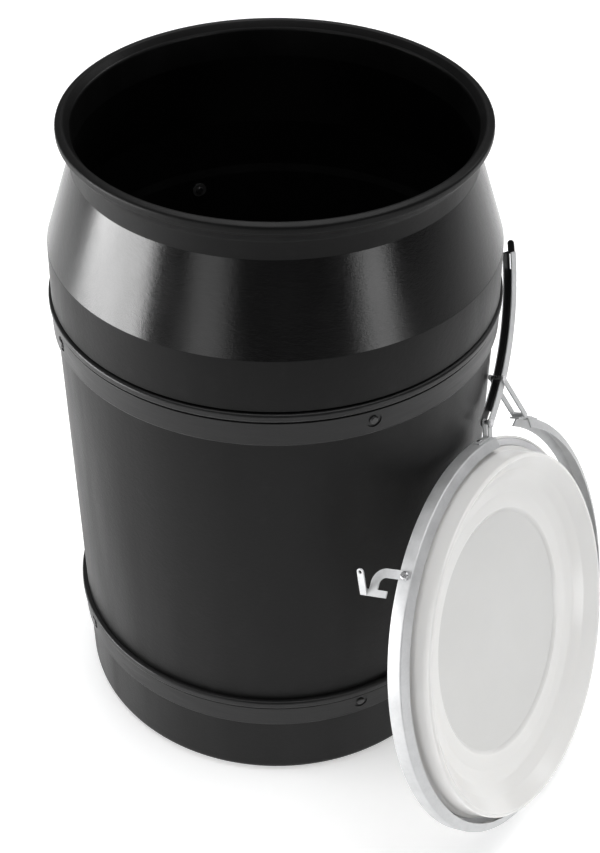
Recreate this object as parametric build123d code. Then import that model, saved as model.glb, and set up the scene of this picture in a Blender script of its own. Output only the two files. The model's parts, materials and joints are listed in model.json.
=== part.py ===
from build123d import *
import math
import os

# Bear canister: an open-top moulded drum with riveted hoops, its plug lid and its
# lever-lock clamp ring. The lid and ring are off the drum and lean against it.
# Millimetres, +Z up. Origin: centre of the foot, on the surface the drum stands on.
# -Y is the front. The drum's axis is Z.

# ---- drum ----
WALL = 3.2                # thickness of the moulded wall
BODY_R = 199.5            # straight wall, outside
BELLY_LOW_R = 202.0       # belly, just above the upper hoop
BELLY_TOP_R = 200.5       # belly, at the foot of the cone
BELLY_LOW_Z = 461.0
BELLY_TOP_Z = 510.0
NECK_R = 174.4            # neck, outside
NECK_LOW_Z = 587.5
NECK_TOP_Z = 604.0
BORE_R = 171.3            # mouth, inside
LIP_R = 183.5             # rolled lip, outside
LIP_LOW_Z = 613.5
DRUM_H = 624.0
FLOOR_T = 4.5             # thickness of the floor
GROOVE_IN = 150.0         # shallow groove under the floor
GROOVE_OUT = 160.0
GROOVE_DEPTH = 2.0

# ---- hoops and their rivets ----
UPPER_BAND_R = 203.2
LOWER_BAND_R = 202.8
BEAD_R = 204.6            # crest of the bead round each hoop
BEAD_HALF = 4.2           # half its height
BEAD_ROUND = 2.6
HOOP_GAP = 0.05           # between a hoop and the wall
UPPER_HOOP_LOW = 426.0
UPPER_HOOP_TOP = 459.3
LOWER_HOOP_LOW = 74.0
LOWER_HOOP_TOP = 108.0
LOWER_BEAD_Z = 103.2
UPPER_BEAD_Z = 455.2
UPPER_RIVET_Z = 440.0
LOWER_RIVET_Z = 89.0
RIVET_AZIMUTH = -67.0     # first rivet, from +X towards +Y
RIVET_COUNT = 4
RIVET_SHANK_R = 2.4
RIVET_HEAD_R = 3.9
RIVET_HEAD_H = 2.2
RIVET_POCKET_R = 6.8
RIVET_POCKET_DEPTH = 1.0
WASHER_R = 7.0
WASHER_T = 1.2

# ---- lid, in its own frame: Z out of its underside, 0 at the ring's back edge ----
LID_FLANGE_R = 182.3
LID_PLUG_R = 170.0
LID_CREST_Z = 31.0
LID_PANEL_R = 112.3
LID_PANEL_Z = 5.7
LID_SHEET = 3.0
GASKET_IN = 173.6
GASKET_OUT = 179.9

# ---- clamp ring, in the lid's frame ----
RING_R = 185.5            # web, outside
RING_SHEET = 1.2
RING_WEB = 12.7           # width of the web
RING_LEG_R = 176.5        # inner edge of the two sloping legs
RING_LEG_RISE = 3.9
RING_MID = RING_WEB / 2
LEFT_END = 69.2           # angles round the lid's axis, ring shut
RIGHT_END = 63.6
HEEL = 276.0              # opposite the gap, where the spring of the ring is hinged
HEEL_GAP = 0.12           # half the angle between the two halves at the heel
RING_SPRING = 7.5         # how far the right half stands open
LEVER_SWING = 136.0       # from open to shut

# ---- lever, its bracket and its link, ring shut ----
FULCRUM_R = 200.0
FULCRUM_ANGLE = 70.3
FULCRUM_PIN_R = 2.2
LEVER_WIDTH = 9.4
LEVER_SHEET = 1.2
LEVER_IN = 195.2          # edges of the side walls
LEVER_OUT = 204.8         # back of the channel
LEVER_END = 117.0
LEVER_WEB_START = 74.2
LEVER_TAB_END = 120.4
SLOT_ANGLE = 114.4
SLOT_LONG = 14.0
SLOT_WIDE = 4.6
LINK_PIN_R = 2.0
LINK_PIN_ANGLE = 82.8
LINK_PIN_RADIUS = 195.0
LINK_HALF = 7.0           # half the outer width of the link
LINK_SHEET = 1.3
LINK_WIDTH = 5.0
HOOK_ANGLE = 65.5
HOOK_RADIUS = 188.3
LIP_TOP = 187.3           # low enough for the bar to drop behind it
CROSS_BAR_R = 2.0
RUN_GAP = 0.05            # radial clearance round a turning pin
BRACKET_SHEET = 1.3
BRACKET_HALF = LEVER_WIDTH / 2 - LEVER_SHEET - 0.3
BRACKET_RIVET_R = 1.5
STRAP_HALF = 4.7          # half the width of the strap on the ring's right end
TONGUE_END = 68.4
FULCRUM_RIVETS = [75.0]   # angles of the rivets that hold each bracket
HOOK_RIVETS = [58.6, 61.6]

# ---- safety catch ----
CATCH_ANGLE = 126.5
CATCH_SHEET = 1.5
CATCH_WIDTH = 8.0
CATCH_STRIP = 6.0
CATCH_DROP = 21.5         # from its rivet down to the foot's outer edge
CATCH_HEEL = 13.0         # from its rivet to the near end of the foot
CATCH_TAB_W = 6.4
CATCH_LEAN = 50.0         # how far the tab leans back over the foot
CATCH_BEND_R = 10.0
CATCH_PIN_R = 2.0
CATCH_REACH = 27.0        # from its rivet to the back of the C
CATCH_FOOT = 38.5         # from its rivet to the far end of the foot
CATCH_EYE_R = 1.7
CATCH_TAB_H = 21.0

# ---- where the lid leans ----
LEAN_AZIMUTH = -31.9      # the way its underside faces, from +X towards +Y
LEAN_TILT = 19.2          # and how far that is above level
LEAN_OUT = 263.5          # lid's centre from the drum's axis, along that azimuth
LEAN_ASIDE = -41.3        # and to one side of it, level
FLOOR_GAP = 0.3           # the open right half hangs this much below the left one

COS_TILT = math.cos(math.radians(LEAN_TILT))
SIN_TILT = math.sin(math.radians(LEAN_TILT))
LID_Z = RING_R * COS_TILT + FLOOR_GAP


def polar(radius, angle, z=0.0):
    a = math.radians(angle)
    return Vector(radius * math.cos(a), radius * math.sin(a), z)


def lid_frame():
    a = math.radians(LEAN_AZIMUTH)
    outward = Vector(math.cos(a), math.sin(a), 0)
    across = Vector(-math.sin(a), math.cos(a), 0)
    origin = outward * LEAN_OUT + across * LEAN_ASIDE + Vector(0, 0, LID_Z)
    normal = outward * COS_TILT + Vector(0, 0, SIN_TILT)
    return Plane(origin=origin, x_dir=across, z_dir=normal).location


def section(corners):
    """Closed face in the XZ plane from (radius, height, corner radius) triples."""
    points = [(x, 0, z) for x, z, r in corners]
    outline = FilletPolyline(*points, radius=[r for x, z, r in corners], close=True)
    return make_face(outline)


def turned(corners, start=0.0, arc=360.0):
    """Solid of revolution about Z, from one angle through an arc."""
    solid = revolve(section(corners), axis=Axis.Z, revolution_arc=arc)
    return Rot(0, 0, start) * solid


def radial(angle, z, radius=0.0):
    """Location on a radius, with local Z pointing outward and local X along the axis."""
    out = polar(1, angle)
    return Plane(origin=polar(radius, angle, z), x_dir=(0, 0, 1), z_dir=out).location


def parallel_pin(radius, low, high, at):
    """Pin along the lid's axis."""
    return Pos(at.X, at.Y, (low + high) / 2) * Cylinder(radius, high - low)


# ---------------------------------------------------------------- drum

def rivet_places(z):
    step = 360 / RIVET_COUNT
    return [(RIVET_AZIMUTH + step * i, z) for i in range(RIVET_COUNT)]


def drill(solid, z, radius):
    for angle, height in rivet_places(z):
        solid -= radial(angle, height, BODY_R) * Cylinder(radius, 30)
    return solid


def barrel_shell():
    inside_r = BODY_R - WALL
    solid = turned([
        (0, 0, 0), (GROOVE_IN, 0, 0.8), (GROOVE_IN + 1.5, GROOVE_DEPTH, 0.8),
        (GROOVE_OUT - 1.5, GROOVE_DEPTH, 0.8), (GROOVE_OUT, 0, 0.8), (BODY_R, 0, 10), (BODY_R, BELLY_LOW_Z - 1.5, 0.8), (BELLY_LOW_R, BELLY_LOW_Z, 0.8),
        (BELLY_TOP_R, BELLY_TOP_Z, 3), (NECK_R, NECK_LOW_Z, 1.5), (NECK_R, NECK_TOP_Z, 5),
        (LIP_R - 5, LIP_LOW_Z - 1.5, 2.5), (LIP_R, LIP_LOW_Z + 1, 3),
        (LIP_R, DRUM_H - 2.5, 3.2), (LIP_R - 6.5, DRUM_H, 3),
        (BORE_R, DRUM_H - 8, 6), (BORE_R, NECK_LOW_Z + 1.5, 2),
        (BELLY_TOP_R - WALL - 0.4, BELLY_TOP_Z - 1.6, 3),
        (BELLY_LOW_R - WALL, BELLY_LOW_Z - 1, 1.5), (inside_r, BELLY_LOW_Z - 9, 1.5),
        (inside_r, FLOOR_T, 7), (0, FLOOR_T, 0)])
    solid = drill(solid, UPPER_RIVET_Z, RIVET_SHANK_R)
    return drill(solid, LOWER_RIVET_Z, RIVET_SHANK_R)


def pocket(solid, z, face_r):
    """Shallow round pocket for each rivet head in a hoop's face."""
    for angle, height in rivet_places(z):
        seat = face_r - RIVET_POCKET_DEPTH
        solid -= radial(angle, height, seat + 5) * Cylinder(RIVET_POCKET_R, 10)
    return solid


def hoop(low, bead_z, top, band_r, rivet_z):
    """Hoop round the wall: a flat band with rivet pockets and a round bead above it."""
    inner = BODY_R + HOOP_GAP
    bead_low = bead_z - BEAD_HALF
    solid = turned([
        (inner, low, 0), (band_r - 0.8, low, 0.4), (band_r, low + 1.6, 0.6),
        (band_r, bead_low - 1.6, 0.5), (band_r - 1.4, bead_low - 0.8, 0.3),
        (band_r - 1.4, bead_low, 0), (BEAD_R, bead_low, BEAD_ROUND),
        (BEAD_R, top - 0.6, BEAD_ROUND), (inner + 1.2, top, 0.3), (inner, top, 0)])
    solid = pocket(solid, rivet_z, band_r)
    return drill(solid, rivet_z, RIVET_SHANK_R)


def upper_hoop():
    return hoop(UPPER_HOOP_LOW, UPPER_BEAD_Z, UPPER_HOOP_TOP, UPPER_BAND_R, UPPER_RIVET_Z)


def lower_hoop():
    return hoop(LOWER_HOOP_LOW, LOWER_BEAD_Z, LOWER_HOOP_TOP, LOWER_BAND_R, LOWER_RIVET_Z)


def rivet(seat_r, tail_r):
    """Rivet along +Z: domed head on seat_r, formed tail inside tail_r."""
    head = Pos(0, 0, seat_r) * turned([
        (0, 0, 0), (RIVET_HEAD_R, 0, 0), (RIVET_HEAD_R, RIVET_HEAD_H, 1.8), (0, RIVET_HEAD_H, 0)])
    shank = Pos(0, 0, (seat_r + tail_r) / 2) * Cylinder(RIVET_SHANK_R, seat_r - tail_r)
    tail = Pos(0, 0, tail_r) * Rot(180, 0, 0) * turned([
        (0, 0, 0), (RIVET_HEAD_R, 0, 0), (RIVET_HEAD_R - 0.8, 1.6, 0.6), (0, 1.6, 0)])
    return head + shank + tail


def washer_seat():
    """Radius of the plane on which a flat washer meets the curved wall inside."""
    inside_r = BODY_R - WALL
    return math.sqrt(inside_r ** 2 - WASHER_R ** 2)


def rivet_set(z, face_r):
    seat = face_r - RIVET_POCKET_DEPTH
    one = rivet(seat, washer_seat() - WASHER_T)
    return Compound(children=[radial(angle, height) * one for angle, height in rivet_places(z)])


def washer_set(z):
    ring = Cylinder(WASHER_R, WASHER_T) - Cylinder(RIVET_SHANK_R, WASHER_T)
    middle = washer_seat() - WASHER_T / 2
    return Compound(children=[radial(angle, height, middle) * ring for angle, height in rivet_places(z)])


# ---------------------------------------------------------------- lid

def lid():
    plug_in = LID_PLUG_R - 6.8
    return turned([
        (0, LID_PANEL_Z, 0), (LID_PANEL_R, LID_PANEL_Z, 2), (LID_PANEL_R + 3.4, 8.6, 1.5),
        (131, 9.6, 1.5), (134, 8.2, 1.5), (138.5, 9.4, 5), (152, 18.2, 12),
        (plug_in, LID_CREST_Z - 1.5, 1.6), (plug_in + 1.6, LID_CREST_Z, 0.8),
        (LID_PLUG_R - 1.4, LID_CREST_Z, 2.2), (LID_PLUG_R, 12, 4),
        (GASKET_IN - 0.3, 8.5, 1.0), (GASKET_IN - 0.3, 3.8, 0.4),
        (GASKET_OUT + 0.3, 3.8, 0.4), (GASKET_OUT + 0.3, 6.0, 0.3),
        (LID_FLANGE_R, 6.0, 0.8), (LID_FLANGE_R, 0.6, 1.4),
        (LID_PLUG_R - 1.8, 0.6, 2.5), (LID_PLUG_R - 3.4, LID_CREST_Z - LID_SHEET - 0.4, 1.4),
        (plug_in + 1.2, LID_CREST_Z - LID_SHEET - 0.6, 1.0), (152.8, 14.0, 10),
        (137.5, 5.2, 8), (LID_PANEL_R + 2, 5.2, 2), (LID_PANEL_R - 2, LID_PANEL_Z - LID_SHEET, 2),
        (0, LID_PANEL_Z - LID_SHEET, 0)])


def lid_gasket():
    return turned([
        (GASKET_IN, 3.8, 0), (GASKET_OUT, 3.8, 0), (GASKET_OUT, 6.4, 0.8), (GASKET_IN, 6.4, 0.8)])


# ---------------------------------------------------------------- clamp ring

def ring_corners():
    """Channel with a straight web and two legs that slope in and away from it."""
    t = RING_SHEET
    web_in = RING_R - t
    return [
        (RING_LEG_R, -RING_LEG_RISE, 0), (RING_R, 0, 1.6), (RING_R, RING_WEB, 1.6),
        (RING_LEG_R, RING_WEB + RING_LEG_RISE, 0), (RING_LEG_R, RING_WEB + RING_LEG_RISE - t, 0),
        (web_in, RING_WEB - 0.75 * t, 0.6), (web_in, 0.75 * t, 0.6),
        (RING_LEG_R, -RING_LEG_RISE + t, 0)]


def spring_open(shape):
    """Turn a piece of the right half from shut to its open rest about the heel."""
    heel = polar(RING_R - RING_SHEET, HEEL)
    return Pos(heel.X, heel.Y, 0) * Rot(0, 0, -RING_SPRING) * Pos(-heel.X, -heel.Y, 0) * shape


def ring_left():
    arc = HEEL - HEEL_GAP - LEFT_END
    solid = turned(ring_corners(), LEFT_END, arc)
    solid -= radial(CATCH_ANGLE, RING_MID, RING_R) * Cylinder(CATCH_PIN_R, 8)
    for angle in FULCRUM_RIVETS:
        solid -= radial(angle, RING_MID, RING_R) * Cylinder(BRACKET_RIVET_R, 6)
    return solid


def ring_right():
    start = HEEL + HEEL_GAP
    solid = turned(ring_corners(), start, 360 + RIGHT_END - start)
    for angle in HOOK_RIVETS:
        solid -= radial(angle, RING_MID, RING_R) * Cylinder(BRACKET_RIVET_R, 6)
    return spring_open(solid)


def band(inner, outer, half, start, arc):
    """Curved strip on the ring's middle line, between two radii."""
    low = RING_MID - half
    high = RING_MID + half
    return turned([(inner, low, 0), (outer, low, 0), (outer, high, 0), (inner, high, 0)], start, arc)


def fulcrum_bracket():
    """Saddle on the ring's left end: a curved base and two cheeks for the pin."""
    foot = band(RING_R, RING_R + BRACKET_SHEET, BRACKET_HALF, LEFT_END + 0.2, 7.6)
    pivot = polar(FULCRUM_R, FULCRUM_ANGLE)
    cheek_r = 3.1
    for side in (-1, 1):
        middle = RING_MID + side * (BRACKET_HALF - BRACKET_SHEET / 2)
        boss = Pos(pivot.X, pivot.Y, middle) * Cylinder(cheek_r, BRACKET_SHEET)
        reach = FULCRUM_R - RING_R - 0.6
        block = Box(BRACKET_SHEET, 2 * cheek_r, reach)
        post = radial(FULCRUM_ANGLE, middle, RING_R + 0.6 + reach / 2) * block
        foot += boss + post
    foot -= parallel_pin(FULCRUM_PIN_R, -5, RING_WEB + 5, pivot)
    for angle in FULCRUM_RIVETS:
        foot -= radial(angle, RING_MID, RING_R) * Cylinder(BRACKET_RIVET_R, 6)
    return foot


def bracket_rivet(angle):
    """Small rivet that holds a bracket down on the ring's web."""
    seat = RING_R + BRACKET_SHEET
    inside = RING_R - RING_SHEET
    shank = Pos(0, 0, (seat + inside) / 2) * Cylinder(BRACKET_RIVET_R, seat - inside)
    head = Pos(0, 0, seat) * turned([(0, 0, 0), (2.6, 0, 0), (2.6, 1.0, 0.8), (0, 1.0, 0)])
    tail = Pos(0, 0, inside - 0.3) * Cylinder(2.2, 0.6)
    return radial(angle, RING_MID) * (shank + head + tail)


def link_bracket():
    """Strap on the ring's right end, with a tongue beyond it and the lip the link pulls on."""
    start = HOOK_RIVETS[0] - 1.8
    strap = band(RING_R, RING_R + BRACKET_SHEET, STRAP_HALF, start, RIGHT_END + 0.6 - start)
    tongue_arc = TONGUE_END - RIGHT_END - 0.3
    tongue = band(RING_R - 1.0, RING_R + 0.4, STRAP_HALF, RIGHT_END + 0.3, tongue_arc)
    lip = band(RING_R - 0.5, LIP_TOP, STRAP_HALF, HOOK_ANGLE + 0.75, 0.45)
    solid = strap + tongue + lip
    for angle in HOOK_RIVETS:
        solid -= radial(angle, RING_MID, RING_R) * Cylinder(BRACKET_RIVET_R, 8)
    return spring_open(solid)


# ---------------------------------------------------------------- lever and link

def swing_open(shape):
    """Turn a piece of the lever from shut to its open rest about the fulcrum pin."""
    pivot = polar(FULCRUM_R, FULCRUM_ANGLE)
    return Pos(pivot.X, pivot.Y, 0) * Rot(0, 0, -LEVER_SWING) * Pos(-pivot.X, -pivot.Y, 0) * shape


def fulcrum_pin():
    pivot = polar(FULCRUM_R, FULCRUM_ANGLE)
    half = LEVER_WIDTH / 2
    pin = parallel_pin(FULCRUM_PIN_R, RING_MID - half - 0.4, RING_MID + half + 0.4, pivot)
    head = turned([(0, 0, 0), (3.4, 0, 0), (3.4, 0.6, 0.5), (0, 0.6, 0)])
    pin += Pos(pivot.X, pivot.Y, RING_MID + half + 0.1) * head
    pin += Pos(pivot.X, pivot.Y, RING_MID - half - 0.1) * Rot(180, 0, 0) * head
    return pin


def lever():
    """Curved channel that lies over the ring's left half when shut."""
    low = RING_MID - LEVER_WIDTH / 2
    high = RING_MID + LEVER_WIDTH / 2
    web_in = LEVER_OUT - LEVER_SHEET
    pivot = polar(FULCRUM_R, FULCRUM_ANGLE)
    arc = LEVER_END - FULCRUM_ANGLE
    body = turned([
        (LEVER_IN, low, 0), (LEVER_OUT, low, 1.4), (LEVER_OUT, high, 1.4), (LEVER_IN, high, 0),
        (LEVER_IN, high - LEVER_SHEET, 0), (web_in, high - LEVER_SHEET, 0.4),
        (web_in, low + LEVER_SHEET, 0.4), (LEVER_IN, low + LEVER_SHEET, 0)], FULCRUM_ANGLE, arc)
    gap_arc = LEVER_WEB_START - FULCRUM_ANGLE + 4
    inner_half = LEVER_WIDTH / 2 - LEVER_SHEET
    body -= turned([
        (web_in - 2, RING_MID - inner_half, 0), (LEVER_OUT + 2, RING_MID - inner_half, 0),
        (LEVER_OUT + 2, RING_MID + inner_half, 0), (web_in - 2, RING_MID + inner_half, 0)],
        FULCRUM_ANGLE - 4, gap_arc)
    end_r = (LEVER_OUT - LEVER_IN) / 2
    for middle in (low + LEVER_SHEET / 2, high - LEVER_SHEET / 2):
        body += Pos(pivot.X, pivot.Y, middle) * Cylinder(end_r, LEVER_SHEET)
    tab_half = LEVER_WIDTH / 2 - 1.4
    body += turned([
        (web_in, RING_MID - tab_half, 0), (LEVER_OUT, RING_MID - tab_half, 0),
        (LEVER_OUT, RING_MID + tab_half, 0), (web_in, RING_MID + tab_half, 0)],
        LEVER_END - 0.5, LEVER_TAB_END - LEVER_END - 1)
    tip = radial(LEVER_TAB_END - 1.4, RING_MID, (web_in + LEVER_OUT) / 2)
    body += tip * Cylinder(tab_half, LEVER_SHEET)
    slot = Box(SLOT_WIDE, SLOT_LONG, 12)
    body -= radial(SLOT_ANGLE, RING_MID, LEVER_OUT) * slot
    body -= parallel_pin(FULCRUM_PIN_R + RUN_GAP, -6, RING_WEB + 6, pivot)
    at = polar(LINK_PIN_RADIUS, LINK_PIN_ANGLE)
    body -= parallel_pin(LINK_PIN_R, -6, RING_WEB + 6, at)
    return swing_open(body)


def link_pin():
    at = polar(LINK_PIN_RADIUS, LINK_PIN_ANGLE)
    pin = parallel_pin(LINK_PIN_R, RING_MID - LINK_HALF - 0.4, RING_MID + LINK_HALF + 0.4, at)
    head = turned([(0, 0, 0), (2.8, 0, 0), (2.8, 0.6, 0.5), (0, 0.6, 0)])
    pin += Pos(at.X, at.Y, RING_MID + LINK_HALF + 0.1) * head
    pin += Pos(at.X, at.Y, RING_MID - LINK_HALF - 0.1) * Rot(180, 0, 0) * head
    return swing_open(pin)


def rotated_point(point, centre, angle):
    a = math.radians(angle)
    dx = point.X - centre.X
    dy = point.Y - centre.Y
    x = centre.X + dx * math.cos(a) - dy * math.sin(a)
    y = centre.Y + dx * math.sin(a) + dy * math.cos(a)
    return Vector(x, y, 0)


def link_ends():
    """The link's two pivots at the open rest."""
    pivot = polar(FULCRUM_R, FULCRUM_ANGLE)
    heel = polar(RING_R - RING_SHEET, HEEL)
    near = rotated_point(polar(LINK_PIN_RADIUS, LINK_PIN_ANGLE), pivot, -LEVER_SWING)
    far = rotated_point(polar(HOOK_RADIUS, HOOK_ANGLE), heel, -RING_SPRING)
    return near, far


def link():
    """Stirrup: two flat arms on the link pin and the bar that hooks the right end."""
    near, far = link_ends()
    run = far - near
    angle = math.degrees(math.atan2(run.Y, run.X))
    middle = (near + far) / 2
    solid = parallel_pin(CROSS_BAR_R, RING_MID - LINK_HALF, RING_MID + LINK_HALF, far)
    for side in (-1, 1):
        z = RING_MID + side * (LINK_HALF - LINK_SHEET / 2)
        solid += Pos(middle.X, middle.Y, z) * Rot(0, 0, angle) * Box(run.length, LINK_WIDTH, LINK_SHEET)
        for end in (near, far):
            solid += Pos(end.X, end.Y, z) * Cylinder(LINK_WIDTH / 2, LINK_SHEET)
    solid -= parallel_pin(LINK_PIN_R + RUN_GAP, -8, RING_WEB + 8, near)
    return solid


# ---------------------------------------------------------------- safety catch

def safety_catch():
    """Stamped hook on the ring's web: a C-shaped arm and a leaning tab with an eye."""
    half = CATCH_WIDTH / 2
    straight = CATCH_REACH - CATCH_BEND_R
    arm = Cylinder(half, CATCH_SHEET)
    arm += Pos(-straight / 2, 0, 0) * Box(straight, CATCH_WIDTH, CATCH_SHEET)
    bend = Cylinder(CATCH_BEND_R + half, CATCH_SHEET) - Cylinder(CATCH_BEND_R - half, CATCH_SHEET)
    bend &= Pos(-20, 20, 0) * Box(40, 40, CATCH_SHEET)
    arm += Pos(-straight, -CATCH_BEND_R, 0) * bend
    drop = CATCH_DROP - CATCH_BEND_R
    arm += Pos(-CATCH_REACH, -CATCH_BEND_R - drop / 2, 0) * Box(CATCH_WIDTH, drop, CATCH_SHEET)
    foot = CATCH_FOOT - CATCH_HEEL
    strip = Box(foot, CATCH_STRIP, CATCH_SHEET)
    arm += Pos(-CATCH_HEEL - foot / 2, CATCH_STRIP / 2 - CATCH_DROP, 0) * strip
    tab = Pos(0, 0, CATCH_TAB_H / 2) * Box(CATCH_TAB_W, CATCH_SHEET, CATCH_TAB_H)
    tab += Pos(0, 0, CATCH_TAB_H) * Rot(90, 0, 0) * Cylinder(CATCH_TAB_W / 2, CATCH_SHEET)
    tab -= Pos(0, 0, CATCH_TAB_H) * Rot(90, 0, 0) * Cylinder(CATCH_EYE_R, 4)
    tab = Rot(-CATCH_LEAN, 0, 0) * tab
    arm += Pos(CATCH_TAB_W / 2 - CATCH_FOOT, 0.6 - CATCH_DROP, 0) * tab
    arm -= Cylinder(CATCH_PIN_R + RUN_GAP, 6)
    return radial(CATCH_ANGLE, RING_MID, RING_R + 0.3 + CATCH_SHEET / 2) * arm


def catch_rivet():
    seat = RING_R + 0.3 + CATCH_SHEET + 0.1
    inside = RING_R - RING_SHEET
    shank = Pos(0, 0, (seat + inside) / 2) * Cylinder(CATCH_PIN_R, seat - inside)
    head = Pos(0, 0, seat) * turned([(0, 0, 0), (3.6, 0, 0), (3.6, 1.4, 1.1), (0, 1.4, 0)])
    tail = Pos(0, 0, inside - 0.35) * Cylinder(2.8, 0.7)
    return radial(CATCH_ANGLE, RING_MID) * (shank + head + tail)


# ---------------------------------------------------------------- assembly

def drum_nodes():
    return {
        "barrel_shell": barrel_shell(),
        "upper_hoop": upper_hoop(),
        "lower_hoop": lower_hoop(),
        "upper_hoop_rivets": rivet_set(UPPER_RIVET_Z, UPPER_BAND_R),
        "lower_hoop_rivets": rivet_set(LOWER_RIVET_Z, LOWER_BAND_R),
        "upper_rivet_washers": washer_set(UPPER_RIVET_Z),
        "lower_rivet_washers": washer_set(LOWER_RIVET_Z),
    }


def lid_nodes():
    hook_rivets = Compound(children=[spring_open(bracket_rivet(angle)) for angle in HOOK_RIVETS])
    return {
        "lid": lid(),
        "lid_gasket": lid_gasket(),
        "clamp_ring_left": ring_left(),
        "clamp_ring_right": ring_right(),
        "fulcrum_bracket": fulcrum_bracket(),
        "fulcrum_bracket_rivet": bracket_rivet(FULCRUM_RIVETS[0]),
        "link_bracket": link_bracket(),
        "link_bracket_rivets": hook_rivets,
        "fulcrum_pin": fulcrum_pin(),
        "lever": lever(),
        "link_pin": link_pin(),
        "link": link(),
        "safety_catch": safety_catch(),
        "catch_rivet": catch_rivet(),
    }


def main():
    os.makedirs("parts", exist_ok=True)
    nodes = drum_nodes()
    place = lid_frame()
    for name, shape in lid_nodes().items():
        nodes[name] = place * shape
    for name, shape in nodes.items():
        export_step(shape, f"parts/{name}.step")


main()
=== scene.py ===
import json
import math

import bmesh
import bpy
from mathutils import Matrix, Vector


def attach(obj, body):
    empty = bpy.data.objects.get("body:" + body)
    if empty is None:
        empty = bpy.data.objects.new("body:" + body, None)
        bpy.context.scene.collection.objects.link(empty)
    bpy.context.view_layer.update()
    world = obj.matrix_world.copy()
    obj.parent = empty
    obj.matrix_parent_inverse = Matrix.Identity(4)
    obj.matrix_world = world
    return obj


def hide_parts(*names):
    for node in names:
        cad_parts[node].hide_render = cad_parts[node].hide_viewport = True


# The looks of the bear canister: a black moulded drum, its white plug lid and its
# galvanised clamp ring. Metres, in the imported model's frame; +Z up, -Y the front.

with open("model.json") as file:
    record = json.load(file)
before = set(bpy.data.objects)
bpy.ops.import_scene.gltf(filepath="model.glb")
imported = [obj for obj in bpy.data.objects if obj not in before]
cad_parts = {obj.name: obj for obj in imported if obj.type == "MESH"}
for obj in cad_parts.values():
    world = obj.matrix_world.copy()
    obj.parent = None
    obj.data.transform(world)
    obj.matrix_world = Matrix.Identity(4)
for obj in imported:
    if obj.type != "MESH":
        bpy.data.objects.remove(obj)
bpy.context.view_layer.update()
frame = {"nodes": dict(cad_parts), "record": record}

MM = 0.001

# ---- camera: degrees, metres and millimetres of lens ----
CAMERA_ELEVATION = 39.5
CAMERA_DISTANCE = 1.4708
CAMERA_TARGET_Z = 0.2796
CAMERA_YAW = 0.877
CAMERA_ROLL = -0.356
CAMERA_LENS = 63.27

# ---- where the lid leans, as in the CAD ----
LEAN_AZIMUTH = -31.9
LEAN_TILT = 19.2
LEAN_OUT = 263.5
LEAN_ASIDE = -41.3
FLOOR_GAP = 0.3
RING_R = 185.5
RING_SHEET = 1.2
HEEL = 276.0
HEEL_GAP = 0.12
LEFT_END = 69.2
RIGHT_END = 63.6
RING_SPRING = 7.5

# ---- where the drum's and the lid's finishes change, in metres ----
CONE_FOOT = 0.5105
CONE_TOP = 0.5868
BORE_R = 0.1735
FOOT_EDGE = 0.003
PANEL_R = 0.114

# ---- the lever, as in the CAD ----
RING_MID = 6.35
FULCRUM_R = 200.0
FULCRUM_ANGLE = 70.3
LEVER_SWING = 136.0
LEVER_WEB_IN = 203.6
LEVER_INNER_HALF = 3.5


# ---------------------------------------------------------------- meshes

def lid_matrix():
    """From the lid's own frame to the row frame, in metres."""
    azimuth = math.radians(LEAN_AZIMUTH)
    tilt = math.radians(LEAN_TILT)
    outward = Vector((math.cos(azimuth), math.sin(azimuth), 0))
    across = Vector((-math.sin(azimuth), math.cos(azimuth), 0))
    normal = outward * math.cos(tilt) + Vector((0, 0, math.sin(tilt)))
    upward = normal.cross(across)
    height = RING_R * math.cos(tilt) + FLOOR_GAP
    origin = (outward * LEAN_OUT + across * LEAN_ASIDE + Vector((0, 0, height))) * MM
    return Matrix.Translation(origin) @ Matrix((across, upward, normal)).transposed().to_4x4()


def rounded(corners, steps=6):
    """Closed outline of (radius, height, corner radius) triples with its corners rounded."""
    outline = []
    count = len(corners)
    for i in range(count):
        x, z, radius = corners[i]
        here = Vector((x, z))
        before = Vector(corners[i - 1][:2]) - here
        after = Vector(corners[(i + 1) % count][:2]) - here
        half = before.angle(after) / 2
        if radius <= 0 or half > math.radians(89):
            outline.append(here)
            continue
        cut = radius / math.tan(half)
        start = here + before.normalized() * cut
        end = here + after.normalized() * cut
        centre = here + (before.normalized() + after.normalized()).normalized() * (radius / math.sin(half))
        turn = (start - centre).angle_signed(end - centre)
        for k in range(steps + 1):
            arm = (start - centre).copy()
            arm.rotate(Matrix.Rotation(-turn * k / steps, 2))
            outline.append(centre + arm)
    return outline


def turned(name, corners, start=0.0, arc=360.0, count=256):
    """Solid of revolution about Z as a mesh of quads, in millimetres until it is placed."""
    outline = rounded(corners)
    whole = arc >= 360
    rows = count if whole else count + 1
    points = []
    for i in range(rows):
        angle = math.radians(start + arc * i / count)
        for p in outline:
            points.append((p.x * math.cos(angle), p.x * math.sin(angle), p.y))
    size = len(outline)
    faces = []
    for i in range(count):
        low = i * size
        high = ((i + 1) % rows) * size
        for k in range(size):
            nxt = (k + 1) % size
            faces.append((low + k, high + k, high + nxt, low + nxt))
    if not whole:
        faces.append(tuple(range(size)))
        faces.append(tuple(reversed(range((rows - 1) * size, rows * size))))
    mesh = bpy.data.meshes.new(name)
    mesh.from_pydata(points, [], faces)
    piece = bpy.data.objects.new(name, mesh)
    bpy.context.scene.collection.objects.link(piece)
    tidy_mesh(mesh)
    return piece


def tidy_mesh(mesh):
    """Merge the points that meet on the axis, face outwards, smooth all but real edges."""
    work = bmesh.new()
    work.from_mesh(mesh)
    bmesh.ops.remove_doubles(work, verts=work.verts, dist=0.002)
    bmesh.ops.dissolve_degenerate(work, edges=work.edges, dist=0.001)
    bmesh.ops.recalc_face_normals(work, faces=work.faces)
    work.to_mesh(mesh)
    work.free()
    mesh.shade_smooth()
    mesh.set_sharp_from_angle(angle=math.radians(40))


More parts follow.
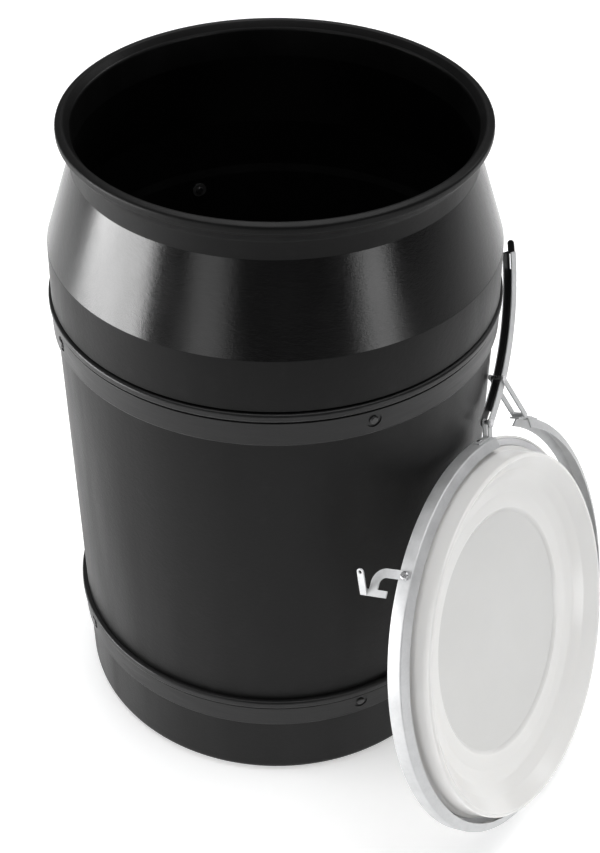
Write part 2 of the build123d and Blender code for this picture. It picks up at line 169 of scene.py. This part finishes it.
def place(piece, matrix=None):
    """Millimetres to metres, then into the row frame."""
    turn = matrix if matrix is not None else Matrix.Identity(4)
    piece.data.transform(turn @ Matrix.Scale(MM, 4))
    return piece


# ---------------------------------------------------------------- shader helpers

def new_material(name):
    material = bpy.data.materials.new(name)
    material.use_nodes = True
    nodes = material.node_tree.nodes
    shader = nodes["Principled BSDF"]
    return material, nodes, material.node_tree.links, shader


def coordinates(nodes, links, stretch=(1, 1, 1)):
    """Object coordinates, stretched along each axis."""
    source = nodes.new("ShaderNodeTexCoord")
    mapping = nodes.new("ShaderNodeMapping")
    mapping.inputs["Scale"].default_value = stretch
    links.new(source.outputs["Object"], mapping.inputs["Vector"])
    return mapping.outputs["Vector"]


def noise(nodes, links, vector, scale, detail=3.0, roughness=0.5):
    node = nodes.new("ShaderNodeTexNoise")
    node.inputs["Scale"].default_value = scale
    node.inputs["Detail"].default_value = detail
    node.inputs["Roughness"].default_value = roughness
    links.new(vector, node.inputs["Vector"])
    return node.outputs["Fac"]


def spread(nodes, links, value, low, high, start=0.3, end=0.7):
    """Map a noise value onto a range."""
    node = nodes.new("ShaderNodeMapRange")
    node.inputs["From Min"].default_value = start
    node.inputs["From Max"].default_value = end
    node.inputs["To Min"].default_value = low
    node.inputs["To Max"].default_value = high
    links.new(value, node.inputs["Value"])
    return node.outputs["Result"]


def tint(nodes, links, value, dark, light):
    node = nodes.new("ShaderNodeMix")
    node.data_type = "RGBA"
    node.inputs["A"].default_value = (*dark, 1)
    node.inputs["B"].default_value = (*light, 1)
    links.new(value, node.inputs["Factor"])
    return node.outputs["Result"]


def bump(nodes, links, height, strength, distance, normal=None):
    node = nodes.new("ShaderNodeBump")
    node.inputs["Strength"].default_value = strength
    node.inputs["Distance"].default_value = distance
    links.new(height, node.inputs["Height"])
    if normal is not None:
        links.new(normal, node.inputs["Normal"])
    return node.outputs["Normal"]


def arithmetic(nodes, links, kind, a, b):
    node = nodes.new("ShaderNodeMath")
    node.operation = kind
    node.use_clamp = kind == "ADD"
    for socket, value in ((node.inputs[0], a), (node.inputs[1], b)):
        if isinstance(value, (int, float)):
            socket.default_value = value
        else:
            links.new(value, socket)
    return node.outputs["Value"]


# ---------------------------------------------------------------- materials

def drum_plastic(name, rough, peel_strength, gloss, dark, light):
    """Black moulded polyethylene, grained; rough holds the ends of its roughness."""
    material, nodes, links, shader = new_material(name)
    vector = coordinates(nodes, links)
    tall = coordinates(nodes, links, (1, 1, 0.12))
    cloud = noise(nodes, links, tall, 26, 4, 0.55)
    links.new(spread(nodes, links, cloud, *rough), shader.inputs["Roughness"])
    dust = spread(nodes, links, noise(nodes, links, vector, 60, 5, 0.65), 0, 1, 0.55, 0.80)
    links.new(tint(nodes, links, dust, (dark,) * 3, (light,) * 3), shader.inputs["Base Color"])
    wobble = noise(nodes, links, tall, 9, 2, 0.4)
    peel = noise(nodes, links, vector, 260, 2, 0.5)
    grain = noise(nodes, links, vector, 900, 2, 0.6)
    normal = bump(nodes, links, wobble, 0.15, 0.004)
    normal = bump(nodes, links, peel, peel_strength, 0.0008, normal)
    normal = bump(nodes, links, grain, 0.2, 0.0004, normal)
    links.new(normal, shader.inputs["Normal"])
    shader.inputs["Specular IOR Level"].default_value = gloss
    return material


def hoop_plastic():
    """The hoops: the same black, drawn smoother round the drum."""
    material, nodes, links, shader = new_material("hoop_plastic")
    shader.inputs["Specular IOR Level"].default_value = 0.3
    vector = coordinates(nodes, links)
    flat = coordinates(nodes, links, (1, 1, 6))
    cloud = noise(nodes, links, flat, 20, 4, 0.55)
    links.new(spread(nodes, links, cloud, 0.30, 0.42), shader.inputs["Roughness"])
    links.new(tint(nodes, links, cloud, (0.003, 0.003, 0.0031), (0.006, 0.006, 0.0062)),
              shader.inputs["Base Color"])
    grain = noise(nodes, links, vector, 900, 2, 0.6)
    normal = bump(nodes, links, cloud, 0.2, 0.002)
    normal = bump(nodes, links, grain, 0.18, 0.0003, normal)
    links.new(normal, shader.inputs["Normal"])
    return material


def lid_plastic():
    """Natural polyethylene: milky and waxy, greyer where its middle panel is thin."""
    material, nodes, links, shader = new_material("lid_plastic")
    vector = coordinates(nodes, links)
    cloud = noise(nodes, links, vector, 14, 4, 0.5)
    thick = tint(nodes, links, cloud, (0.80, 0.792, 0.775), (0.85, 0.845, 0.83))
    thin = tint(nodes, links, cloud, (0.645, 0.643, 0.63), (0.685, 0.683, 0.672))
    radius, _ = turned_place(nodes, links, lid_matrix())
    panel = nodes.new("ShaderNodeMix")
    panel.data_type = "RGBA"
    links.new(spread(nodes, links, radius, 1, 0, PANEL_R - 0.002, PANEL_R + 0.002), panel.inputs["Factor"])
    links.new(thick, panel.inputs["A"])
    links.new(thin, panel.inputs["B"])
    links.new(panel.outputs["Result"], shader.inputs["Base Color"])
    links.new(spread(nodes, links, cloud, 0.16, 0.24), shader.inputs["Roughness"])
    shader.inputs["Subsurface Weight"].default_value = 0.15
    shader.inputs["Subsurface Radius"].default_value = (1.0, 0.95, 0.88)
    shader.inputs["Subsurface Scale"].default_value = 0.006
    fine = noise(nodes, links, vector, 420, 2, 0.5)
    links.new(bump(nodes, links, fine, 0.05, 0.0003), shader.inputs["Normal"])
    return material


def gasket_rubber():
    material, nodes, links, shader = new_material("gasket_rubber")
    vector = coordinates(nodes, links)
    cloud = noise(nodes, links, vector, 300, 3, 0.5)
    links.new(tint(nodes, links, cloud, (0.70, 0.70, 0.72), (0.78, 0.78, 0.79)),
              shader.inputs["Base Color"])
    shader.inputs["Roughness"].default_value = 0.6
    links.new(bump(nodes, links, cloud, 0.2, 0.0004), shader.inputs["Normal"])
    return material


def zinc(nodes, links, shader):
    """Zinc-coated sheet: dull spangle, faint grain, duller smears. Returns its colour."""
    vector = coordinates(nodes, links)
    spangle = nodes.new("ShaderNodeTexVoronoi")
    spangle.inputs["Scale"].default_value = 420
    links.new(vector, spangle.inputs["Vector"])
    bright = nodes.new("ShaderNodeSeparateColor")
    links.new(spangle.outputs["Color"], bright.inputs["Color"])
    smear = noise(nodes, links, vector, 45, 4, 0.6)
    mixed = arithmetic(nodes, links, "MULTIPLY", bright.outputs["Red"], 0.2)
    mixed = arithmetic(nodes, links, "ADD", mixed, spread(nodes, links, smear, 0.0, 0.8))
    links.new(spread(nodes, links, smear, 0.44, 0.56), shader.inputs["Roughness"])
    shader.inputs["Metallic"].default_value = 0.5
    fine = noise(nodes, links, vector, 1500, 2, 0.6)
    links.new(bump(nodes, links, fine, 0.12, 0.0002), shader.inputs["Normal"])
    return tint(nodes, links, mixed, (0.52, 0.525, 0.53), (0.64, 0.645, 0.65))


def galvanised():
    material, nodes, links, shader = new_material("galvanised")
    links.new(zinc(nodes, links, shader), shader.inputs["Base Color"])
    return material


def lever_matrix():
    """From the shut lever's frame, about the lid's axis, to its open place in the row frame."""
    angle = math.radians(FULCRUM_ANGLE)
    pivot = Vector((math.cos(angle), math.sin(angle), 0)) * FULCRUM_R * MM
    swing = Matrix.Translation(pivot) @ Matrix.Rotation(-math.radians(LEVER_SWING), 4, "Z")
    return lid_matrix() @ swing @ Matrix.Translation(-pivot)


def turned_place(nodes, links, matrix):
    """Distance from the axis, and height along it, in the frame that the matrix places."""
    back = matrix.inverted()
    source = nodes.new("ShaderNodeTexCoord")
    mapping = nodes.new("ShaderNodeMapping")
    mapping.inputs["Location"].default_value = back.to_translation()
    mapping.inputs["Rotation"].default_value = back.to_euler("XYZ")
    links.new(source.outputs["Object"], mapping.inputs["Vector"])
    parts = nodes.new("ShaderNodeSeparateXYZ")
    links.new(mapping.outputs["Vector"], parts.inputs["Vector"])
    flat = nodes.new("ShaderNodeCombineXYZ")
    links.new(parts.outputs["X"], flat.inputs["X"])
    links.new(parts.outputs["Y"], flat.inputs["Y"])
    radius = nodes.new("ShaderNodeVectorMath")
    radius.operation = "LENGTH"
    links.new(flat.outputs["Vector"], radius.inputs[0])
    return radius.outputs["Value"], parts.outputs["Z"]


def lever_zinc_painted_shade():
    """Zinc outside; the inside of the channel is painted near-black, a painted shade where the channel lies
    in shadow.
    """
    material, nodes, links, shader = new_material("lever_zinc_painted_shade")
    radius, height = turned_place(nodes, links, lever_matrix())
    aside = arithmetic(nodes, links, "SUBTRACT", height, RING_MID * MM)
    aside = arithmetic(nodes, links, "ABSOLUTE", aside, 0)
    between = arithmetic(nodes, links, "LESS_THAN", aside, (LEVER_INNER_HALF + 0.15) * MM)
    under = arithmetic(nodes, links, "LESS_THAN", radius, (LEVER_WEB_IN + 0.2) * MM)
    inside = arithmetic(nodes, links, "MULTIPLY", between, under)
    blend = nodes.new("ShaderNodeMix")
    blend.data_type = "RGBA"
    links.new(inside, blend.inputs["Factor"])
    links.new(zinc(nodes, links, shader), blend.inputs["A"])
    # painted shade: near-black colour on the channel's inner faces, where the channel lies in shadow
    blend.inputs["B"].default_value = (0.035, 0.035, 0.036, 1)
    links.new(blend.outputs["Result"], shader.inputs["Base Color"])
    return material


def plain_metal(name, dark, light, metallic, low, high):
    """Small turned or headed parts."""
    material, nodes, links, shader = new_material(name)
    vector = coordinates(nodes, links)
    smear = noise(nodes, links, vector, 350, 3, 0.6)
    links.new(tint(nodes, links, smear, dark, light), shader.inputs["Base Color"])
    links.new(spread(nodes, links, smear, low, high), shader.inputs["Roughness"])
    shader.inputs["Metallic"].default_value = metallic
    links.new(bump(nodes, links, smear, 0.12, 0.0003), shader.inputs["Normal"])
    return material


def make_materials():
    return {
        "drum_plastic": drum_plastic("drum_wall", (0.34, 0.46), 0.14, 0.13, 0.0030, 0.0065),
        "drum_cone": drum_plastic("drum_cone", (0.14, 0.24), 0.09, 0.33, 0.0022, 0.0050),
        "drum_inside": drum_plastic("drum_inside", (0.28, 0.40), 0.12, 0.40, 0.0030, 0.0050),
        "lever_zinc_painted_shade": lever_zinc_painted_shade(),
        "hoop_plastic": hoop_plastic(),
        "lid_plastic": lid_plastic(),
        "gasket_rubber": gasket_rubber(),
        "galvanised": galvanised(),
        "rivet_black": plain_metal("rivet_black", (0.010, 0.010, 0.010), (0.02, 0.02, 0.02), 0.0, 0.25, 0.40),
        "washer_steel": plain_metal("washer_steel", (0.32, 0.32, 0.32), (0.45, 0.45, 0.45), 1.0, 0.35, 0.50),
        "rivet_steel": plain_metal("rivet_steel", (0.50, 0.50, 0.51), (0.66, 0.66, 0.67), 1.0, 0.22, 0.36),
    }


# ---------------------------------------------------------------- the object

def drum(materials):
    """The shell as one smooth turned piece."""
    piece = turned("drum_wall", [
        (0, 0, 0), (150, 0, 0.8), (151.5, 2, 0.8), (158.5, 2, 0.8), (160, 0, 0.8),
        (199.5, 0, 10), (199.5, 459.5, 0.8), (202, 461, 0.8), (200.5, 510, 3),
        (174.4, 587.5, 1.5), (174.4, 604, 5), (178.5, 612, 2.5), (183.5, 614.5, 3),
        (183.5, 621.5, 3.2), (177, 624, 3), (171.3, 616, 6), (171.3, 589, 2),
        (196.9, 508.4, 3), (198.8, 460, 1.5), (196.3, 452, 1.5), (196.3, 4.5, 7), (0, 4.5, 0)])
    place(piece)
    finish_piece(piece, "drum", "drum_plastic", materials, ["barrel_shell"])
    piece.data.materials.append(materials["drum_cone"])
    piece.data.materials.append(materials["drum_inside"])
    for face in piece.data.polygons:
        face.material_index = drum_finish(face)


def drum_finish(face):
    """0 for the wall, 1 for the glossier cone, 2 for the inside."""
    radius = math.hypot(face.center.x, face.center.y)
    outward = face.normal.x * face.center.x + face.normal.y * face.center.y
    height = face.center.z
    within_bore = radius < BORE_R and height > FOOT_EDGE
    behind_wall = outward < 0 and height < CONE_TOP
    if within_bore or behind_wall:
        return 2
    return 1 if CONE_FOOT < height < CONE_TOP else 0


def lid(materials, matrix):
    """Plug lid and the seal in its flange."""
    piece = turned("lid_moulding", [
        (0, 5.7, 0), (112.3, 5.7, 2.5), (115.9, 8.6, 2.5), (130, 9.6, 10), (142, 12.6, 12),
        (152.5, 19.6, 10), (163.2, 29.5, 1.6), (164.8, 31, 0.8),
        (168.6, 31, 2.2), (170, 12, 4), (173.3, 8.5, 1.0), (173.3, 3.8, 0.4),
        (180.2, 3.8, 0.4), (180.2, 6.0, 0.3), (182.3, 6.0, 0.8), (182.3, 0.6, 1.4),
        (168.2, 0.6, 2.5), (166.6, 27.6, 1.4), (164.4, 27.4, 1.0), (152.8, 14.0, 10),
        (137.5, 5.2, 8), (114.3, 5.2, 2), (110.3, 2.7, 2), (0, 2.7, 0)])
    place(piece, matrix)
    finish_piece(piece, "lid_and_ring", "lid_plastic", materials, ["lid"])
    seal = turned("lid_seal", [(173.6, 3.8, 0), (179.9, 3.8, 0), (179.9, 6.4, 0.8), (173.6, 6.4, 0.8)])
    place(seal, matrix)
    finish_piece(seal, "lid_and_ring", "gasket_rubber", materials, ["lid_gasket"])


def ring_half(name, node, body, start, arc, materials, matrix):
    """Half of the clamp ring, a rolled channel."""
    sheet = RING_SHEET
    piece = turned(name, [
        (176.5, -3.9, 0.3), (RING_R, 0, 1.8), (RING_R, 12.7, 1.8), (176.5, 16.6, 0.3),
        (176.5, 16.6 - sheet, 0.3), (RING_R - sheet, 11.8, 0.6), (RING_R - sheet, 0.9, 0.6),
        (176.5, sheet - 3.9, 0.3)], start, arc, 160)
    place(piece, matrix)
    finish_piece(piece, body, "galvanised", materials, [node])


def clamp_ring(materials, matrix):
    left_arc = HEEL - HEEL_GAP - LEFT_END
    ring_half("ring_left_band", "clamp_ring_left", "lid_and_ring", LEFT_END, left_arc, materials, matrix)
    heel = Vector((math.cos(math.radians(HEEL)), math.sin(math.radians(HEEL)), 0)) * (RING_R - RING_SHEET)
    opened = Matrix.Translation(heel * MM) @ Matrix.Rotation(-math.radians(RING_SPRING), 4, "Z")
    opened = matrix @ opened @ Matrix.Translation(-heel * MM)
    start = HEEL + HEEL_GAP
    right_arc = 360 + RIGHT_END - start
    ring_half("ring_right_band", "clamp_ring_right", "ring_right", start, right_arc, materials, opened)


def finish_piece(piece, body, slot, materials, nodes):
    piece.data.materials.append(materials[slot])
    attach(piece, body)
    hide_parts(*nodes)


def dress_nodes(materials):
    """The CAD pieces that show as they are get their finish."""
    slots = {row["node"]: row["material_slot"] for row in frame["record"]["subparts"]}
    for name, node in frame["nodes"].items():
        if node.hide_render:
            continue
        node.data.materials.clear()
        # the lever's material is zinc with painted shade inside its channel
        finish = "lever_zinc_painted_shade" if name == "lever" else slots[name]
        node.data.materials.append(materials[finish])


# ---------------------------------------------------------------- stage

def floor():
    mesh = bpy.data.meshes.new("floor")
    reach = 9.0
    mesh.from_pydata([(-reach, -reach, 0), (reach, -reach, 0), (reach, reach, 0), (-reach, reach, 0)],
                     [], [(0, 1, 2, 3)])
    plane = bpy.data.objects.new("floor", mesh)
    bpy.context.scene.collection.objects.link(plane)
    material, nodes, links, shader = new_material("floor")
    source = nodes.new("ShaderNodeTexCoord")
    away = nodes.new("ShaderNodeVectorMath")
    away.operation = "LENGTH"
    shifted = nodes.new("ShaderNodeMapping")
    shifted.inputs["Location"].default_value = (0, -0.55, 0)
    links.new(source.outputs["Object"], shifted.inputs["Vector"])
    links.new(shifted.outputs["Vector"], away.inputs[0])
    near = spread(nodes, links, away.outputs["Value"], 0.38, 0.0, 1.2, 4.5)
    links.new(near, shader.inputs["Emission Strength"])
    shader.inputs["Base Color"].default_value = (0.92, 0.92, 0.92, 1)
    shader.inputs["Roughness"].default_value = 0.9
    shader.inputs["Specular IOR Level"].default_value = 0.1
    shader.inputs["Emission Color"].default_value = (1, 1, 1, 1)
    mesh.materials.append(material)


def area_light(name, position, target, size, power):
    data = bpy.data.lights.new(name, "AREA")
    data.shape = "RECTANGLE"
    data.size, data.size_y = size
    data.energy = power
    lamp = bpy.data.objects.new(name, data)
    bpy.context.scene.collection.objects.link(lamp)
    aim = Vector(target) - Vector(position)
    lamp.location = position
    lamp.rotation_euler = aim.to_track_quat("-Z", "Y").to_euler()
    lamp.visible_camera = False


def lights():
    area_light("top_box", (0.1, 0.35, 2.6), (0, 0.1, 0.2), (2.2, 2.2), 54)
    area_light("left_box", (-2.3, -0.35, 0.36), (0, -0.1, 0.45), (1.7, 0.72), 60)
    area_light("front_left_strip", (-1.5, -2.45, 0.55), (0, 0, 0.5), (0.9, 1.0), 6.5)
    area_light("front_right_box", (2.35, -2.15, 0.5), (0, 0, 0.5), (0.9, 0.9), 12)
    area_light("right_box", (2.6, 1.2, 2.0), (0.1, 0, 0.3), (1.2, 1.2), 12)


def sky():
    """Bright overhead, darker at the level of the horizon as in a room."""
    world = bpy.data.worlds.new("studio")
    bpy.context.scene.world = world
    world.use_nodes = True
    nodes = world.node_tree.nodes
    links = world.node_tree.links
    background = nodes["Background"]
    source = nodes.new("ShaderNodeTexCoord")
    parts = nodes.new("ShaderNodeSeparateXYZ")
    ramp = nodes.new("ShaderNodeValToRGB")
    links.new(source.outputs["Generated"], parts.inputs["Vector"])
    links.new(parts.outputs["Z"], ramp.inputs["Fac"])
    links.new(ramp.outputs["Color"], background.inputs["Color"])
    ramp.color_ramp.elements[0].position = 0.0
    ramp.color_ramp.elements[0].color = (0.16, 0.16, 0.163, 1)
    ramp.color_ramp.elements[1].position = 0.8
    ramp.color_ramp.elements[1].color = (0.70, 0.70, 0.71, 1)
    background.inputs["Strength"].default_value = 0.5


def camera():
    elevation = math.radians(CAMERA_ELEVATION)
    back = Vector((0, -math.cos(elevation), math.sin(elevation)))
    position = Vector((0, 0, CAMERA_TARGET_Z)) + back * CAMERA_DISTANCE
    forward = -back
    right = Vector((1, 0, 0))
    up = right.cross(forward)
    yaw = math.radians(CAMERA_YAW)
    ahead = forward * math.cos(yaw) + right * math.sin(yaw)
    side = right * math.cos(yaw) - forward * math.sin(yaw)
    roll = math.radians(CAMERA_ROLL)
    level = side * math.cos(roll) + up * math.sin(roll)
    above = up * math.cos(roll) - side * math.sin(roll)
    data = bpy.data.cameras.new("camera")
    data.lens = CAMERA_LENS
    data.sensor_width = 36
    data.clip_start = 0.05
    data.clip_end = 60
    eye = bpy.data.objects.new("camera", data)
    bpy.context.scene.collection.objects.link(eye)
    turn = Matrix((level, above, -ahead)).transposed().to_4x4()
    eye.matrix_world = Matrix.Translation(position) @ turn
    bpy.context.scene.camera = eye


def main():
    camera()
    materials = make_materials()
    matrix = lid_matrix()
    drum(materials)
    lid(materials, matrix)
    clamp_ring(materials, matrix)
    dress_nodes(materials)
    floor()
    lights()
    sky()
    bpy.context.scene.view_settings.view_transform = "Standard"


main()
